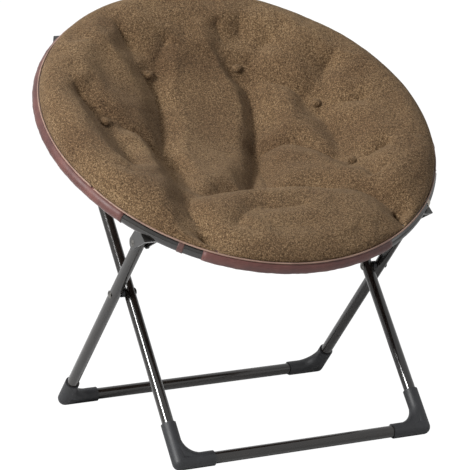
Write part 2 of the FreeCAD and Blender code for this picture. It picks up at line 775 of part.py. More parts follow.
def ring_halves():
    front_start = 180.0 + HINGE_ANGLE + LUG_REACH_ANGLE
    front_end = 360.0 - HINGE_ANGLE - LUG_REACH_ANGLE
    ring_tube("front_ring_tube", front_start, front_end, FRONT_PLACE)
    rear_start = -HINGE_ANGLE + REAR_LUG_ANGLE
    rear_end = 180.0 + HINGE_ANGLE - REAR_LUG_ANGLE
    ring_tube("rear_ring_tube", rear_start, rear_end, REAR_PLACE)
    for side_name, side in SIDES:
        hinge_lug(f"front_hinge_lug_{side_name}", side, True)
        hinge_lug(f"rear_hinge_lug_{side_name}", side, False)
        bracket(
            f"front_bracket_{side_name}", FRONT_PIVOT, FRONT_CENTRE, FRONT_TILT,
            OUTER_HALF_WIDTH, side, FRONT_PLACE,
        )
        bracket(
            f"rear_bracket_{side_name}", REAR_PIVOT, RING_CENTRE, REAR_TILT,
            INNER_HALF_WIDTH, side, REAR_PLACE,
        )
    hinge_rivets()
    pivot_rivets("front_pivot_rivets", FRONT_PIVOT, OUTER_HALF_WIDTH)
    pivot_rivets("rear_pivot_rivets", REAR_PIVOT, INNER_HALF_WIDTH)


leg_frame(
    "outer", OUTER_BAR, OUTER_WAY, OUTER_HALF_WIDTH, FRONT_PIVOT, size("outer_foot_rise")
)
leg_frame(
    "inner", INNER_BAR, INNER_WAY, INNER_HALF_WIDTH, REAR_PIVOT, size("inner_foot_rise")
)
scissor_pieces()
ring_halves()
cushions()
hem("front_hem", FRONT_FLAP[0], FRONT_FLAP[1], FRONT_PLACE)
hem("front_hem_left", FRONT_HEM_LEFT[0], FRONT_HEM_LEFT[1], FRONT_PLACE)
hem("rear_hem", REAR_HEM[0], REAR_HEM[1], REAR_PLACE, bracket_room(INNER_HALF_WIDTH, 1.0))
doc.recompute()

for obj in doc.Objects:
    if "Invalid" in obj.State or "Error" in obj.State:
        raise RuntimeError(f"{obj.Label} did not compute")
os.makedirs("parts", exist_ok=True)
for piece in pieces:
    if piece.Shape.isNull() or not piece.Shape.isValid():
        raise RuntimeError(f"{piece.Label} has no sound shape")
    piece.Shape.exportStep(f"parts/{piece.Label}.step")
print("hinge", HINGE, "front pivot", FRONT_PIVOT, "rear pivot", REAR_PIVOT, "scissor", SCISSOR)
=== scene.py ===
import math
import bmesh
import bpy
import numpy as np
from mathutils import Matrix, Vector


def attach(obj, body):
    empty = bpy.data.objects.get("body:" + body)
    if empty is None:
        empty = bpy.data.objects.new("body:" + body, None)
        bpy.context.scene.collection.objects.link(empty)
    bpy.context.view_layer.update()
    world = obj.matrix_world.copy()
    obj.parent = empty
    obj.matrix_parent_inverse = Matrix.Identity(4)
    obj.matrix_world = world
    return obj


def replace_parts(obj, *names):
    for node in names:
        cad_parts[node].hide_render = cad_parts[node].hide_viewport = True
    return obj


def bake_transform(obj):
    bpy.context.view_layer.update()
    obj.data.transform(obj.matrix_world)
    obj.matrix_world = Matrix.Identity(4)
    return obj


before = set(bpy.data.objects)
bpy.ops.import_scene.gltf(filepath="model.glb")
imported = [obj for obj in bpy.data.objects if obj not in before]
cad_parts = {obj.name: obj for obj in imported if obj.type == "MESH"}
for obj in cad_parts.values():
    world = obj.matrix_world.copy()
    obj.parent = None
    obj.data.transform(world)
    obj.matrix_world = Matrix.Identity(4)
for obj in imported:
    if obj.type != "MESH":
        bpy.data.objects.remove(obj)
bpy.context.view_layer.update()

# The ring's own coordinates in millimetres: x across, s up the back, n above the ring plane
MM = 0.001
RING = 378.0
TUBE = 11.0
TILT = math.radians(31.4)
DROOP = math.radians(2.8)
FOLD_S = -150.0
HINGE = (-128.033, 483.149)
LIP_RADIUS = 381.0
LIP_HEIGHT = 14.8
FOLD_EASE = 24.0


def smooth(t):
    t = np.clip(t, 0.0, 1.0)
    return t * t * (3.0 - 2.0 * t)


def in_world(x, s, n):
    """Ring coordinates to metres in the chair's frame, with the front half drooping a little."""
    tilt = TILT + DROOP * smooth((FOLD_S + FOLD_EASE - s) / (2.0 * FOLD_EASE))
    run = s - FOLD_S
    y = HINGE[0] + run * np.cos(tilt) - n * np.sin(tilt)
    z = HINGE[1] + run * np.sin(tilt) + n * np.cos(tilt)
    return np.stack([x + 0.0 * s, y, z], -1) * MM


# Cushion form
CROWN_RADIUS = 322.0
CROWN = 48.0
CROWN_BALL = 46.0
BOWL = 54.0
RIM_POWER = 2.3
SEAT_RIM_POWER = 2.4

# Places of the covered buttons and of the plain tufts, as (x, s)
BUTTONS = [(-111, 182), (83, 189), (-260, 30), (202, 65), (193, -117)]
SEAT_PINCH = (-66, -238)
PINCHES = [(-154, -42), (52, -8), SEAT_PINCH]
# Each fold: depth, half width, and its line over the cushion
SEAT_FOLDS = [
    (9, 36, [(-66, -238), (-20, -250), (40, -246)]),
    (8, 34, [(-66, -238), (-104, -262), (-130, -300)]),
]
BACK_FOLDS = [
    (40, 66, [
        (-160, 296), (-135, 244), (-121, 208), (-111, 182), (-107, 137), (-116, 82),
        (-135, 20), (-154, -42), (-162, -88), (-172, -136), (-188, -200),
    ]),
    (20, 36, [(-154, -42), (-137, -64), (-143, -110), (-160, -160), (-176, -200)]),
    (44, 70, [
        (118, 296), (108, 255), (92, 225), (83, 189), (91, 145), (88, 101), (74, 47),
        (50, -12), (18, -80), (-12, -130), (-30, -168),
    ]),
    (22, 40, [(56, -8), (46, -50), (34, -99), (10, -168)]),
    (18, 44, [(60, 285), (70, 245), (83, 189)]),
    (34, 58, [(-300, 120), (-284, 76), (-260, 30), (-256, -18), (-254, -66), (-262, -120)]),
    (20, 46, [(-260, 30), (-219, 24), (-180, 4), (-154, -42)]),
    (38, 62, [
        (268, 158), (232, 117), (202, 65), (203, 16), (202, -33), (195, -80), (193, -117),
    ]),
    (24, 46, [(193, -117), (200, -150), (206, -190)]),
    (20, 46, [(193, -117), (227, -118), (268, -112)]),
    (26, 54, [(83, 189), (128, 212), (166, 228)]),
    (20, 52, [(-111, 182), (-74, 223), (-48, 256)]),
    (16, 48, [(83, 189), (118, 157), (159, 118), (202, 65)]),
    (18, 48, [(202, 65), (240, 40), (286, 20)]),
    (14, 42, [(52, -8), (110, -20), (150, -60), (193, -117)]),
]
FOLDS = BACK_FOLDS + SEAT_FOLDS
# The crease round the seat lobe, from the front left over the back to the front right
SEAT_LINE = [
    (-182, -352), (-186, -300), (-192, -250), (-190, -216), (-168, -190), (-120, -174),
    (-60, -168), (0, -168), (60, -175), (120, -192), (165, -216), (192, -252),
    (206, -296), (210, -330),
]
# The filling's swell, and the radius where it ends with the run that it fades over
PUFF = 13.0
PUFF_REACH = (330.0, 110.0)
# The share of a fold's length that it fades over at each end
FOLD_END = 0.12
SEAT_FOLD_END = 0.2
# The radius where folds end, and the run that they fade over
FOLD_FADE = (LIP_RADIUS - 10.0, 64.0)
# Drawn-down spots, each as its depth and its reach
TUFT = (18.0, 60.0)
PINCH = (14.0, 50.0)
SEAT_DENT = (12.0, 48.0)
# How much lower the roll is at the front, and where that starts with its run
FORWARD_FALL = 20.0
FORWARD_RUN = (150.0, 170.0)
# The seat lobe: its crease, shoulder, height with its further rise and run, and rim
CREASE_SINK = 20.0
CREASE_LEVEL = 14.0
SHOULDER = 50.0
SEAT_RISE = (24.0, 8.0, 110.0)
SEAT_EDGE = 318.0
# The fall beside the seat lobe: its depth, its reach and the run that it fades over at the rim
BESIDE_SEAT = (38.0, 64.0, 30.0)
# The shares of a round shoulder and of a tight valley in the fall beside a fold
ROUND_SHARE = 0.45
TIGHT_SHARE = 0.55


def segments(points):
    p = np.array(points, float)
    return p[:-1], p[1:]


def rounded(points, steps=6):
    """A smooth run of points through the given ones."""
    p = np.array([points[0]] + list(points) + [points[-1]], float)
    out = []
    for i in range(1, len(p) - 2):
        for k in range(steps):
            t = k / steps
            out.append(0.5 * (
                2 * p[i] + (p[i + 1] - p[i - 1]) * t
                + (2 * p[i - 1] - 5 * p[i] + 4 * p[i + 1] - p[i + 2]) * t * t
                + (3 * p[i] - p[i - 1] - 3 * p[i + 1] + p[i + 2]) * t ** 3
            ))
    out.append(p[-2])
    return np.array(out)


def line_distance(x, s, points):
    """Distance to a line, and how far along it (0 to 1) the nearest place is."""
    first, last = segments(points)
    lengths = np.linalg.norm(last - first, axis=1)
    total = lengths.sum()
    best = np.full(x.shape, 1e9)
    where = np.zeros(x.shape)
    run = 0.0
    for a, b, length in zip(first, last, lengths):
        way = (b - a) / length
        t = np.clip((x - a[0]) * way[0] + (s - a[1]) * way[1], 0.0, length)
        d = np.hypot(x - a[0] - way[0] * t, s - a[1] - way[1] * t)
        near = d < best
        best = np.where(near, d, best)
        where = np.where(near, (run + t) / total, where)
        run += length
    return best, where


def roll_height(r, crown):
    """The bowl and the roll round its rim."""
    depth = BOWL + CROWN - CROWN_BALL
    ball = (CROWN_RADIUS ** 2 + depth ** 2 - CROWN_BALL ** 2) / (2.0 * (CROWN_BALL + depth))
    share = CROWN_BALL / (CROWN_BALL + ball)
    meet = CROWN_RADIUS * (1.0 - share)
    bowl = ball - BOWL - np.sqrt(np.maximum(ball ** 2 - r ** 2, 0.0))
    crest = np.sqrt(np.maximum(CROWN_BALL ** 2 - (r - CROWN_RADIUS) ** 2, 0.0))
    crest = CROWN - CROWN_BALL + crest
    inner = np.where(r < meet, bowl, crest)
    inner = np.where(inner > 0.0, inner * crown / CROWN, inner)
    u = np.clip((r - CROWN_RADIUS) / (LIP_RADIUS - CROWN_RADIUS), 0.0, 1.0)
    outer = LIP_HEIGHT + (crown - LIP_HEIGHT) * np.sqrt(np.maximum(1.0 - u ** RIM_POWER, 0.0))
    return np.where(r < CROWN_RADIUS, inner, outer)


def cusp(u):
    """Fall beside a fold: a round shoulder into a tight valley."""
    u = np.clip(u, 0.0, 1.0)
    v = 1.0 - u
    return ROUND_SHARE * v * v + TIGHT_SHARE * (1.0 - np.sqrt(np.maximum(1.0 - v * v, 0.0)))


def inside_seat(x, s):
    """Whether a place is on the seat lobe, in front of its crease."""
    line = rounded(SEAT_LINE)
    xs = line[:, 0]
    keep = np.r_[True, np.diff(np.maximum.accumulate(xs)) > 0]
    edge = np.interp(x, xs[keep], line[keep, 1])
    return (x > xs.min()) & (x < xs.max()) & (s < edge)


def base_height(x, s):
    """The roll and bowl alone, a little lower towards the front."""
    forward = smooth((-s - FORWARD_RUN[0]) / FORWARD_RUN[1])
    return roll_height(np.hypot(x, s), CROWN - FORWARD_FALL * forward)


def dimple(x, s, place, form):
    """Depth of a drawn-down spot, given as its depth and its reach."""
    depth, reach = form
    return depth * cusp(np.hypot(x - place[0], s - place[1]) / reach)


def back_top(x, s):
    """Top of the plush with its lobes, folds and tufts, as if there were no seat lobe."""
    r = np.hypot(x, s)
    height = base_height(x, s) + PUFF * smooth((PUFF_REACH[0] - r) / PUFF_REACH[1])
    fade = smooth((FOLD_FADE[0] - r) / FOLD_FADE[1])
    for depth, width, points in FOLDS:
        distance, run = line_distance(x, s, rounded(points))
        ends = smooth(np.minimum(run, 1.0 - run) / FOLD_END) * 0.75 + 0.25
        height -= depth * ends * fade * cusp(distance / width)
    for place in BUTTONS:
        height -= dimple(x, s, place, TUFT)
    for place in PINCHES:
        height -= dimple(x, s, place, PINCH)
    return height


def seat_top(x, s, distance):
    """Top of the seat lobe: a round shoulder behind, and the same drawn-in rim as the rest."""
    crease = np.minimum(base_height(x, s), CREASE_LEVEL) - CREASE_SINK
    rise = np.clip(distance / SHOULDER, 0.0, 1.0)
    shoulder = np.sqrt(np.maximum(1.0 - (1.0 - rise) ** 2, 0.0))
    swell = SEAT_RISE[0] + SEAT_RISE[1] * smooth(distance / SEAT_RISE[2])
    seat = crease + (swell - crease) * shoulder
    seat -= dimple(x, s, SEAT_PINCH, SEAT_DENT)
    for depth, width, points in SEAT_FOLDS:
        near, run = line_distance(x, s, rounded(points))
        seat -= depth * smooth(np.minimum(run, 1.0 - run) / SEAT_FOLD_END) * cusp(near / width)
    u = np.clip((np.hypot(x, s) - SEAT_EDGE) / (LIP_RADIUS - SEAT_EDGE), 0.0, 1.0)
    return LIP_HEIGHT + (seat - LIP_HEIGHT) * np.sqrt(np.maximum(1.0 - u ** SEAT_RIM_POWER, 0.0))


def top_height(x, s):
    """Height of the plush top over the ring plane."""
    r = np.hypot(x, s)
    distance, _ = line_distance(x, s, rounded(SEAT_LINE))
    depth, width, rim = BESIDE_SEAT
    beside = back_top(x, s) - depth * cusp(distance / width) * smooth((LIP_RADIUS - r) / rim)
    return keep_thick(np.where(inside_seat(x, s), seat_top(x, s, distance), beside), r)


# The cover's underside and the room between it and the deepest folds
BAG_RADIUS = 238.0
BAG_DEPTH = 98.0
BAG_EDGE = 12.5
BRIM_RISE = 9.0
BRIM_RADIUS = 345.0
LINING = 4.2
THIN = 8.0
THIN_EASE = 5.0
ROOM_LIMIT = 40.0
NO_LINING = -60.0


def keep_thick(height, r):
    """Eases the deepest folds off above the underside, so that some filling is left."""
    lining = under_height(np.minimum(r, BRIM_RADIUS))
    under = np.where(r < BRIM_RADIUS, lining, NO_LINING) + LINING + THIN
    room = np.clip((height - under) / THIN_EASE, -ROOM_LIMIT, ROOM_LIMIT)
    eased = under + THIN_EASE * np.log1p(np.exp(room))
    return np.where(room >= ROOM_LIMIT, height, eased)


def under_height(r):
    """Height of the cover's underside: a shallow brim and a round bag."""
    drop = BAG_DEPTH - BAG_EDGE
    ball = (BAG_RADIUS ** 2 + drop ** 2) / (2.0 * drop)
    bag = ball - BAG_DEPTH - np.sqrt(np.maximum(ball ** 2 - r ** 2, 0.0))
    u = np.clip((r - BAG_RADIUS) / (BRIM_RADIUS - BAG_RADIUS), 0.0, 1.0)
    brim = -BAG_EDGE + BRIM_RISE * (1.0 - (1.0 - u) ** 2)
    return np.where(r < BAG_RADIUS, bag, brim)


def disc_grid(count, radius):
    """An even square grid drawn out to a disc."""
    a = np.linspace(-1.0, 1.0, count)
    u, v = np.meshgrid(a, a, indexing="ij")
    wide = np.abs(u) >= np.abs(v)
    safe_u = np.where(u == 0.0, 1.0, u)
    safe_v = np.where(v == 0.0, 1.0, v)
    r = np.where(wide, u, v) * radius
    quarter = math.pi / 4.0
    angle = np.where(wide, quarter * (v / safe_u), 2.0 * quarter - quarter * (u / safe_v))
    return r * np.cos(angle), r * np.sin(angle)


def mesh_object(name, vertices, faces):
    mesh = bpy.data.meshes.new(name)
    mesh.from_pydata([tuple(v) for v in vertices], [], [tuple(f) for f in faces])
    mesh.validate()
    mesh.polygons.foreach_set("use_smooth", [True] * len(mesh.polygons))
    mesh.update()
    obj = bpy.data.objects.new(name, mesh)
    bpy.context.scene.collection.objects.link(obj)
    return obj


def grid_faces(rows, columns, wrap=False, offset=0, flip=False):
    faces = []
    for i in range(rows - 1):
        for j in range(columns if wrap else columns - 1):
            k = (j + 1) % columns
            quad = (offset + i * columns + j, offset + i * columns + k,
                    offset + (i + 1) * columns + k, offset + (i + 1) * columns + j)
            faces.append(quad[::-1] if flip else quad)
    return faces


def face_outwards(mesh):
    """Turns a closed mesh's faces so that they all look outwards."""
    edit = bmesh.new()
    edit.from_mesh(mesh)
    bmesh.ops.recalc_face_normals(edit, faces=edit.faces)
    edit.to_mesh(mesh)
    edit.free()


# Materials
def new_material(name):
    material = bpy.data.materials.new(name)
    material.use_nodes = True
    tree = material.node_tree
    shader = tree.nodes["Principled BSDF"]
    return material, tree, shader


def add(tree, kind, **inputs):
    node = tree.nodes.new(kind)
    for key, value in inputs.items():
        node.inputs[key.replace("_", " ")].default_value = value
    return node


def coordinates(tree, scale=1.0):
    node = tree.nodes.new("ShaderNodeTexCoord")
    mapping = tree.nodes.new("ShaderNodeMapping")
    mapping.inputs["Scale"].default_value = (scale, scale, scale)
    tree.links.new(node.outputs["Object"], mapping.inputs["Vector"])
    return mapping.outputs["Vector"]


def noise(tree, vector, scale, detail=4.0, roughness=0.55):
    node = add(tree, "ShaderNodeTexNoise", Scale=scale, Detail=detail, Roughness=roughness)
    tree.links.new(vector, node.inputs["Vector"])
    return node.outputs["Fac"]


def ramp(tree, value, stops):
    node = tree.nodes.new("ShaderNodeValToRGB")
    elements = node.color_ramp.elements
    elements[0].position, elements[0].color = stops[0][0], (*stops[0][1], 1.0)
    elements[1].position, elements[1].color = stops[-1][0], (*stops[-1][1], 1.0)
    for position, colour in stops[1:-1]:
        elements.new(position).color = (*colour, 1.0)
    tree.links.new(value, node.inputs["Fac"])
    return node.outputs["Color"]


def mix(tree, factor, first, second, blend="MIX"):
    node = tree.nodes.new("ShaderNodeMix")
    node.data_type = "RGBA"
    node.blend_type = blend
    for socket, value in (("Factor", factor), ("A", first), ("B", second)):
        target = [i for i in node.inputs if i.name == socket and i.enabled][0]
        if isinstance(value, bpy.types.NodeSocket):
            tree.links.new(value, target)
        elif isinstance(value, (int, float)):
            target.default_value = value
        else:
            target.default_value = (*value, 1.0)
    return [o for o in node.outputs if o.enabled][0]


def math_node(tree, operation, first, second=None):
    node = tree.nodes.new("ShaderNodeMath")
    node.operation = operation
    for index, value in enumerate((first, second)):
        if isinstance(value, bpy.types.NodeSocket):
            tree.links.new(value, node.inputs[index])
        elif value is not None:
            node.inputs[index].default_value = value
    return node.outputs["Value"]


def bump(tree, shader, heights):
    """Stacks bumps, each given as a height socket, a strength and a depth in metres."""
    last = None
    for height, strength, distance in heights:
        node = add(tree, "ShaderNodeBump", Strength=strength, Distance=distance)
        tree.links.new(height, node.inputs["Height"])
        if last is not None:
            tree.links.new(last, node.inputs["Normal"])
        last = node.outputs["Normal"]
    tree.links.new(last, shader.inputs["Normal"])


def srgb(r, g, b):
    """A colour read from a picture, 0 to 255, as the linear values that a shader takes."""
    shares = [c / 255.0 for c in (r, g, b)]
    return tuple(c / 12.92 if c <= 0.04 else ((c + 0.055) / 1.055) ** 2.4 for c in shares)


def plush_material():
    """Short looped pile in mixed browns, with a low sheen."""
    material, tree, shader = new_material("heathered_plush")
    vector = coordinates(tree)
    speck = noise(tree, vector, 430.0, 3.0, 0.8)
    fleck = noise(tree, vector, 210.0, 2.0, 0.6)
    cloud = noise(tree, vector, 9.0, 3.0, 0.5)
    colour = ramp(tree, speck, [
        (0.36, srgb(30, 19, 11)), (0.46, srgb(78, 59, 40)),
        (0.54, srgb(122, 99, 73)), (0.66, srgb(190, 166, 134)),
    ])
    worn = ramp(tree, fleck, [(0.35, srgb(60, 43, 28)), (0.65, srgb(142, 118, 90))])
    colour = mix(tree, 0.35, colour, worn)
    patch = ramp(tree, cloud, [(0.3, srgb(206, 196, 188)), (0.7, srgb(252, 248, 240))])
    colour = mix(tree, 1.0, colour, patch, "MULTIPLY")
    tree.links.new(colour, shader.inputs["Base Color"])
    shader.inputs["Roughness"].default_value = 0.95
    shader.inputs["Specular IOR Level"].default_value = 0.15
    shader.inputs["Sheen Weight"].default_value = 0.22
    shader.inputs["Sheen Roughness"].default_value = 0.55
    shader.inputs["Sheen Tint"].default_value = (*srgb(214, 190, 158), 1.0)
    pile = noise(tree, vector, 900.0, 2.0, 0.8)
    bump(tree, shader, [(fleck, 0.7, 0.003), (speck, 0.9, 0.002), (pile, 0.5, 0.0008)])
    return material


def vinyl_material(name, dark, light):
    """Soft vinyl: a fine grain, crumples and a slow change of tone."""
    material, tree, shader = new_material(name)
    vector = coordinates(tree)
    grain = tree.nodes.new("ShaderNodeTexVoronoi")
    grain.feature = "DISTANCE_TO_EDGE"
    grain.inputs["Scale"].default_value = 620.0
    tree.links.new(vector, grain.inputs["Vector"])
    cloud = noise(tree, vector, 24.0, 4.0, 0.6)
    crumple = noise(tree, vector, 70.0, 3.0, 0.6)
    colour = ramp(tree, cloud, [(0.3, dark), (0.7, light)])
    tree.links.new(colour, shader.inputs["Base Color"])
    rough = ramp(tree, cloud, [(0.3, (0.42,) * 3), (0.7, (0.58,) * 3)])
    tree.links.new(rough, shader.inputs["Roughness"])
    shader.inputs["Specular IOR Level"].default_value = 0.4
    shader.inputs["Sheen Weight"].default_value = 0.12
    bump(tree, shader, [(crumple, 0.35, 0.0016), (grain.outputs["Distance"], 0.35, 0.0004)])
    return material


def paint_material(name, base, worn, gloss):
    """Powder-coated tube: orange peel, a faint tone change and a few dull scuffs."""
    material, tree, shader = new_material(name)
    vector = coordinates(tree)
    cloud = noise(tree, vector, 14.0, 3.0, 0.6)
    peel = noise(tree, vector, 850.0, 2.0, 0.5)
    scuff = noise(tree, vector, 46.0, 6.0, 0.75)
    tone = ramp(tree, cloud, [(0.3, base), (0.75, worn)])
    tree.links.new(tone, shader.inputs["Base Color"])
    rough = ramp(tree, scuff, [(0.45, (gloss,) * 3), (0.8, (gloss + 0.22,) * 3)])
    tree.links.new(rough, shader.inputs["Roughness"])
    shader.inputs["Coat Weight"].default_value = 0.5
    shader.inputs["Coat Roughness"].default_value = 0.12
    bump(tree, shader, [(peel, 0.12, 0.0003)])
    return material


def plastic_material(name, base, light):
    """Moulded plastic with a fine spark-eroded grain and rubbed edges."""
    material, tree, shader = new_material(name)
    vector = coordinates(tree)
    grain = noise(tree, vector, 1500.0, 2.0, 0.6)
    cloud = noise(tree, vector, 32.0, 4.0, 0.65)
    tone = ramp(tree, cloud, [(0.35, base), (0.75, light)])
    tree.links.new(tone, shader.inputs["Base Color"])
    rough = ramp(tree, cloud, [(0.3, (0.46,) * 3), (0.8, (0.62,) * 3)])
    tree.links.new(rough, shader.inputs["Roughness"])
    shader.inputs["Specular IOR Level"].default_value = 0.45
    bump(tree, shader, [(grain, 0.3, 0.0003)])
    return material


def steel_material():
    """Rivets: blackened steel with bright rubbed crowns."""
    material, tree, shader = new_material("rivet_steel_worn")
    vector = coordinates(tree)
    cloud = noise(tree, vector, 160.0, 5.0, 0.7)
    tone = ramp(tree, cloud, [(0.35, srgb(58, 56, 54)), (0.7, srgb(150, 148, 144))])
    tree.links.new(tone, shader.inputs["Base Color"])
    shader.inputs["Metallic"].default_value = 1.0
    rough = ramp(tree, cloud, [(0.3, (0.48,) * 3), (0.75, (0.28,) * 3)])
    tree.links.new(rough, shader.inputs["Roughness"])
    bump(tree, shader, [(cloud, 0.15, 0.0003)])
    return material


def webbing_material():
    """Pale woven tape."""
    material, tree, shader = new_material("pale_webbing")
    vector = coordinates(tree)
    wave = add(tree, "ShaderNodeTexWave", Scale=260.0, Distortion=0.4, Detail=2.0)
    tree.links.new(vector, wave.inputs["Vector"])
    fuzz = noise(tree, vector, 500.0, 3.0, 0.7)
    tone = ramp(tree, fuzz, [(0.3, srgb(176, 164, 150)), (0.7, srgb(222, 214, 202))])
    tree.links.new(tone, shader.inputs["Base Color"])
    shader.inputs["Roughness"].default_value = 0.8
    bump(tree, shader, [(wave.outputs["Fac"], 0.5, 0.0006), (fuzz, 0.3, 0.0003)])
    return material


PLUSH = plush_material()
HEM = vinyl_material("hem_vinyl_brown", srgb(70, 40, 37), srgb(98, 60, 54))
SLING = vinyl_material("cover_underside", srgb(62, 38, 35), srgb(84, 54, 48))
# Piping vinyl: a lighter copy of the hem vinyl. Its pale tone is a painted highlight standing in
# for the lit strip along the top of the sleeve
PIPING_PAINTED_HIGHLIGHT = vinyl_material("edge_piping_painted_highlight", srgb(120, 92, 80), srgb(150, 122, 106))
PAINT = paint_material("tube_paint", srgb(19, 17, 15), srgb(30, 26, 22), 0.14)
BRACKET = paint_material("bracket_paint_satin", srgb(18, 17, 16), srgb(26, 25, 24), 0.28)
PLASTIC = plastic_material("moulded_black", srgb(30, 31, 33), srgb(40, 41, 44))
STEEL = steel_material()
WEBBING = webbing_material()


# Soft pieces: the cushion's mesh and its closed underside
GRID = 181
EASING_PASSES = 5
INNER_EDGE = 1.2
EDGE_GAP = 1.4
EDGE_RUN = 9.0
LEAST_THICK = 5.0
SHRINK_RADIUS = LIP_RADIUS - 11.0
SHRINK = 0.994
# What holds the top down while it swells: reach and the run that it fades over
HELD_RIM = (12.0, 8.0)
HELD_TUFT = (22.0, 8.0)
HELD_LINE = (9.0, 6.0)
FOLD_HOLD = 0.9
SHALLOW_FOLD = 12
# The cover's underside and its slack waves
COVER_RINGS = 60
COVER_SPOKES = 240
COVER_START = 2.0
SEAM_RADIUS = 364.0
SEAM_FALL = 5.6
SKIN_DROP = 0.2
SAG_FINE = 1.1
SAG_BROAD = 0.9
COVER_THICK = 1.2
# Hems and straps round the ring tube
HEM_RADIUS = TUBE + 1.35
HEM_TAIL = 4.0
VINYL_THICK = 0.9
STRAP_RADIUS = TUBE + 1.1
STRAP_TAIL = 5.0
STRAP_THICK = 0.8
TAIL_DROP = 3.0
TAIL_SPREAD = 6.0
# Covered buttons: the profile goes from the top of the cap down under the skirt, and
# gives (radius, height)
BUTTON_LIFT = 4.0
BUTTON_SPOKES = 48
BUTTON_PLEATS = 12.0
PLEAT_DEPTH = 0.025
PLEAT_RADIUS = 8.0
BUTTON_PROFILE = [
    (0.2, 6.6), (3.0, 6.4), (6.0, 5.5), (8.4, 3.9), (9.8, 1.6), (10.0, -0.6), (9.0, -3.4),
    (6.0, -5.5),
]


def puff(obj, count, pinned, frames=12, limit=0.0045, shrink=-0.012, pressure=0.8):
    """Lets the top swell and wrinkle as cloth, then keeps the result in the mesh."""
    start = np.array([v.co for v in obj.data.vertices])
    group = obj.vertex_groups.new(name="pinned")
    for index in np.nonzero(pinned > 0.0)[0]:
        group.add([int(index)], float(pinned[index]), "REPLACE")
    cloth = obj.modifiers.new("Cloth", "CLOTH")
    settings = cloth.settings
    settings.quality = 6
    settings.mass = 0.3
    settings.tension_stiffness = 18.0
    settings.compression_stiffness = 18.0
    settings.shear_stiffness = 8.0
    settings.bending_stiffness = 0.35
    settings.vertex_group_mass = "pinned"
    settings.shrink_min = shrink
    settings.use_pressure = True
    settings.uniform_pressure_force = pressure
    settings.effector_weights.gravity = 0.0
    cloth.point_cache.frame_start = 1
    cloth.point_cache.frame_end = frames
    scene = bpy.context.scene
    for number in range(1, frames + 1):
        scene.frame_set(number)
    shaped = obj.evaluated_get(bpy.context.evaluated_depsgraph_get())
    moved = np.array([v.co for v in shaped.data.vertices])
    obj.modifiers.remove(cloth)
    scene.frame_set(1)
    step = moved - start
    length = np.linalg.norm(step, axis=1, keepdims=True)
    step *= np.minimum(1.0, limit / np.maximum(length, 1e-9))
    step = step.reshape(count, count, 3)
    for _ in range(EASING_PASSES):
        inner = step[1:-1, 1:-1]
        beside = step[2:, 1:-1] + step[:-2, 1:-1] + step[1:-1, 2:] + step[1:-1, :-2]
        step[1:-1, 1:-1] = 0.5 * inner + 0.125 * beside
    step = step.reshape(-1, 3)
    for vertex, place in zip(obj.data.vertices, start + step):
        vertex.co = place
    obj.vertex_groups.remove(group)
    obj.data.update()


def hold(distance, form, strength=1.0):
    """How firmly a sewn line or spot holds a place at this distance from it."""
    reach, run = form
    return strength * smooth((reach - distance) / run)


def held_down(x, s):
    """How firmly each place of the top is sewn down: at the rim, tufts, folds and crease."""
    held = hold(LIP_RADIUS - np.hypot(x, s), HELD_RIM)
    for a, b in BUTTONS:
        held = np.maximum(held, hold(np.hypot(x - a, s - b), HELD_TUFT))
    for depth, _, points in FOLDS:
        distance, _ = line_distance(x, s, rounded(points))
        held = np.maximum(held, hold(distance, HELD_LINE, FOLD_HOLD) * (depth > SHALLOW_FOLD))
    distance, _ = line_distance(x, s, rounded(SEAT_LINE))
    return np.maximum(held, hold(distance, HELD_LINE))


def cushion():
    """One round cushion: a puffed plush top closed by a lining underneath."""
    x, s = disc_grid(GRID, LIP_RADIUS)
    top = in_world(x, s, top_height(x, s)).reshape(-1, 3)
    obj = mesh_object("plush_cushion", top, grid_faces(GRID, GRID))
    puff(obj, GRID, held_down(x.ravel(), s.ravel()))
    close_under(obj, x, s)
    sub = obj.modifiers.new("Subdivision", "SUBSURF")
    sub.levels = sub.render_levels = 1
    apply_modifiers(obj)
    obj.data.materials.append(PLUSH)
    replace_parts(obj, "back_cushion", "seat_cushion")
    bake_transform(obj)


def close_under(obj, x, s):
    """Adds the cushion's own underside, a little above the cover's."""
    count = x.shape[0]
    r = np.hypot(x, s)
    inner = under_height(r) + LINING
    rise = smooth((r - BRIM_RADIUS) / EDGE_RUN)
    outer = INNER_EDGE + (LIP_HEIGHT - INNER_EDGE - EDGE_GAP) * rise
    low = np.where(r < BRIM_RADIUS, inner, outer)
    low = np.minimum(low, top_height(x, s) - LEAST_THICK)
    shrink = np.where(r > SHRINK_RADIUS, SHRINK, 1.0)
    under = in_world(x * shrink, s * shrink, low).reshape(-1, 3)
    top = np.array([v.co for v in obj.data.vertices])
    base = len(top)
    faces = [tuple(p.vertices) for p in obj.data.polygons]
    faces += grid_faces(count, count, offset=base, flip=True)
    index = np.arange(count * count).reshape(count, count)
    rim = np.concatenate([index[:-1, 0], index[-1, :-1], index[:0:-1, -1], index[0, :0:-1]])
    for a, b in zip(rim, np.roll(rim, -1)):
        faces.append((int(a), int(a) + base, int(b) + base, int(b)))
    mesh = bpy.data.meshes.new("plush_cushion_closed")
    mesh.from_pydata([tuple(v) for v in np.vstack([top, under])], [], faces)
    mesh.polygons.foreach_set("use_smooth", [True] * len(mesh.polygons))
    mesh.update()
    face_outwards(mesh)
    obj.data = mesh


def apply_modifiers(obj):
    """Writes an object's modifiers into its mesh."""
    depsgraph = bpy.context.evaluated_depsgraph_get()
    mesh = bpy.data.meshes.new_from_object(obj.evaluated_get(depsgraph))
    obj.modifiers.clear()
    obj.data = mesh


